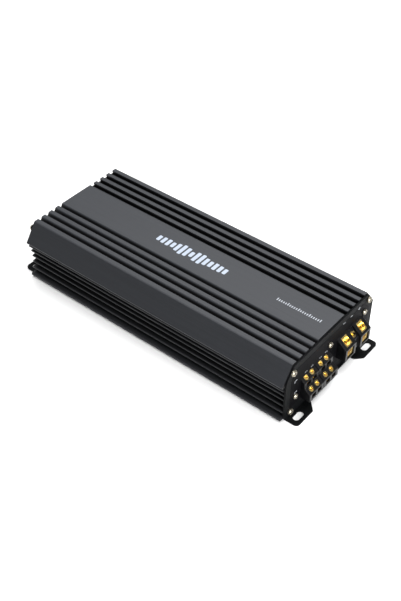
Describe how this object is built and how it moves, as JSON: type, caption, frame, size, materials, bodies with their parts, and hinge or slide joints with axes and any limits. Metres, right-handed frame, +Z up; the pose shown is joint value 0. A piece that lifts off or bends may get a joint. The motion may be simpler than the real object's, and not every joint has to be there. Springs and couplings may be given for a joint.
{
  "type": "car amplifier",
  "caption": "Car power amplifier in a long fluted aluminium heatsink housing, with slotted mounting tabs, screw terminals at one end and input jacks and controls at the other.",
  "frame": {"origin": "on the mounting surface, below the middle of the housing", "axes": "+X along the housing, out of the terminal end; +Z up, away from the mounting surface; the control end is at -X"},
  "size_m": [0.2946, 0.125, 0.0545],
  "materials": {
    "housing_anodised": "matte",
    "plate_black": "satin",
    "screw_nickel": "satin",
    "screw_black": "satin",
    "terminal_plastic": "satin",
    "contact_gold": "polished",
    "screw_gold": "polished",
    "jack_plastic": "satin",
    "control_plastic": "matte",
    "switch_steel": "satin",
    "led_plastic": "gloss",
    "board_green": "satin",
    "ferrite": "matte",
    "copper_wire": "satin",
    "capacitor_sleeve": "gloss",
    "chip_epoxy": "matte",
    "silicone_pad": "matte",
    "bar_aluminium": "satin"
  },
  "bodies": {
    "chassis": {"heatsink_housing": "housing_anodised", "bottom_cover": "plate_black", "cover_screws": "screw_black", "terminal_end_plate": "plate_black", "control_end_plate": "plate_black", "terminal_end_screws": "screw_nickel", "control_end_screws": "screw_nickel", "block_screws": "screw_nickel", "circuit_board": "board_green", "board_screws": "screw_nickel", "power_terminal_housing": "terminal_plastic", "ground_contact": "contact_gold", "battery_contact": "contact_gold", "remote_contact": "contact_gold", "speaker_terminal_housing": "terminal_plastic", "speaker_contacts": "contact_gold", "jack_housing": "terminal_plastic", "jack_shells": "contact_gold", "jack_cores": "jack_plastic", "potentiometer_bodies": "control_plastic", "switch_bodies": "switch_steel", "status_leds": "led_plastic", "transformer_core": "ferrite", "transformer_windings": "copper_wire", "inductor_cores": "ferrite", "inductor_windings": "copper_wire", "electrolytic_capacitors": "capacitor_sleeve", "power_transistors": "chip_epoxy", "insulating_pads": "silicone_pad", "clamp_bars": "bar_aluminium", "clamp_screws": "screw_black", "driver_board": "board_green", "driver_chips": "chip_epoxy", "preamp_chips": "chip_epoxy"},
    "ground_screw": {"ground_screw": "screw_gold"},
    "battery_screw": {"battery_screw": "screw_gold"},
    "remote_screw": {"remote_screw": "screw_gold"},
    "speaker_screw_upper_1": {"speaker_screw_upper_1": "screw_gold"},
    "speaker_screw_upper_2": {"speaker_screw_upper_2": "screw_gold"},
    "speaker_screw_upper_3": {"speaker_screw_upper_3": "screw_gold"},
    "speaker_screw_upper_4": {"speaker_screw_upper_4": "screw_gold"},
    "speaker_screw_lower_1": {"speaker_screw_lower_1": "screw_gold"},
    "speaker_screw_lower_2": {"speaker_screw_lower_2": "screw_gold"},
    "speaker_screw_lower_3": {"speaker_screw_lower_3": "screw_gold"},
    "speaker_screw_lower_4": {"speaker_screw_lower_4": "screw_gold"},
    "front_crossover_shaft": {"front_crossover_shaft": "control_plastic"},
    "front_gain_shaft": {"front_gain_shaft": "control_plastic"},
    "bass_boost_shaft": {"bass_boost_shaft": "control_plastic"},
    "rear_gain_shaft": {"rear_gain_shaft": "control_plastic"},
    "rear_crossover_shaft": {"rear_crossover_shaft": "control_plastic"},
    "front_filter_slider": {"front_filter_slider": "control_plastic"},
    "rear_filter_slider": {"rear_filter_slider": "control_plastic"}
  },
  "joints": [
    {"name": "ground_screw_travel", "type": "slide", "parent": "chassis", "child": "ground_screw", "axis": [0.6345, 0, 0.7729], "range_m": [-0.0045, 0.0015]},
    {"name": "battery_screw_travel", "type": "slide", "parent": "chassis", "child": "battery_screw", "axis": [0.6345, 0, 0.7729], "range_m": [-0.0045, 0.0015]},
    {"name": "remote_screw_travel", "type": "slide", "parent": "chassis", "child": "remote_screw", "axis": [0.6345, 0, 0.7729], "range_m": [-0.0025, 0.0008]},
    {"name": "speaker_screw_upper_1_travel", "type": "slide", "parent": "chassis", "child": "speaker_screw_upper_1", "axis": [0.6228, 0, 0.7824], "range_m": [-0.0025, 0.0004]},
    {"name": "speaker_screw_upper_2_travel", "type": "slide", "parent": "chassis", "child": "speaker_screw_upper_2", "axis": [0.6228, 0, 0.7824], "range_m": [-0.0025, 0.0004]},
    {"name": "speaker_screw_upper_3_travel", "type": "slide", "parent": "chassis", "child": "speaker_screw_upper_3", "axis": [0.6228, 0, 0.7824], "range_m": [-0.0025, 0.0004]},
    {"name": "speaker_screw_upper_4_travel", "type": "slide", "parent": "chassis", "child": "speaker_screw_upper_4", "axis": [0.6228, 0, 0.7824], "range_m": [-0.0025, 0.0004]},
    {"name": "speaker_screw_lower_1_travel", "type": "slide", "parent": "chassis", "child": "speaker_screw_lower_1", "axis": [0.6357, 0, 0.7719], "range_m": [-0.0025, 0.0004]},
    {"name": "speaker_screw_lower_2_travel", "type": "slide", "parent": "chassis", "child": "speaker_screw_lower_2", "axis": [0.6357, 0, 0.7719], "range_m": [-0.0025, 0.0004]},
    {"name": "speaker_screw_lower_3_travel", "type": "slide", "parent": "chassis", "child": "speaker_screw_lower_3", "axis": [0.6357, 0, 0.7719], "range_m": [-0.0025, 0.0004]},
    {"name": "speaker_screw_lower_4_travel", "type": "slide", "parent": "chassis", "child": "speaker_screw_lower_4", "axis": [0.6357, 0, 0.7719], "range_m": [-0.0025, 0.0004]},
    {"name": "front_crossover_turn", "type": "hinge", "parent": "chassis", "child": "front_crossover_shaft", "pos_m": [-0.136, -0.029, 0.02], "axis": [-1, 0, 0], "range_deg": [-140, 140]},
    {"name": "front_gain_turn", "type": "hinge", "parent": "chassis", "child": "front_gain_shaft", "pos_m": [-0.136, -0.0195, 0.02], "axis": [-1, 0, 0], "range_deg": [-140, 140]},
    {"name": "bass_boost_turn", "type": "hinge", "parent": "chassis", "child": "bass_boost_shaft", "pos_m": [-0.136, -0.01, 0.02], "axis": [-1, 0, 0], "range_deg": [-140, 140]},
    {"name": "rear_gain_turn", "type": "hinge", "parent": "chassis", "child": "rear_gain_shaft", "pos_m": [-0.136, -0.0005, 0.02], "axis": [-1, 0, 0], "range_deg": [-140, 140]},
    {"name": "rear_crossover_turn", "type": "hinge", "parent": "chassis", "child": "rear_crossover_shaft", "pos_m": [-0.136, 0.009, 0.02], "axis": [-1, 0, 0], "range_deg": [-140, 140]},
    {"name": "front_filter_slide", "type": "slide", "parent": "chassis", "child": "front_filter_slider", "axis": [0, 1, 0], "range_m": [-0.002, 0.002]},
    {"name": "rear_filter_slide", "type": "slide", "parent": "chassis", "child": "rear_filter_slider", "axis": [0, 1, 0], "range_m": [-0.002, 0.002]}
  ]
}
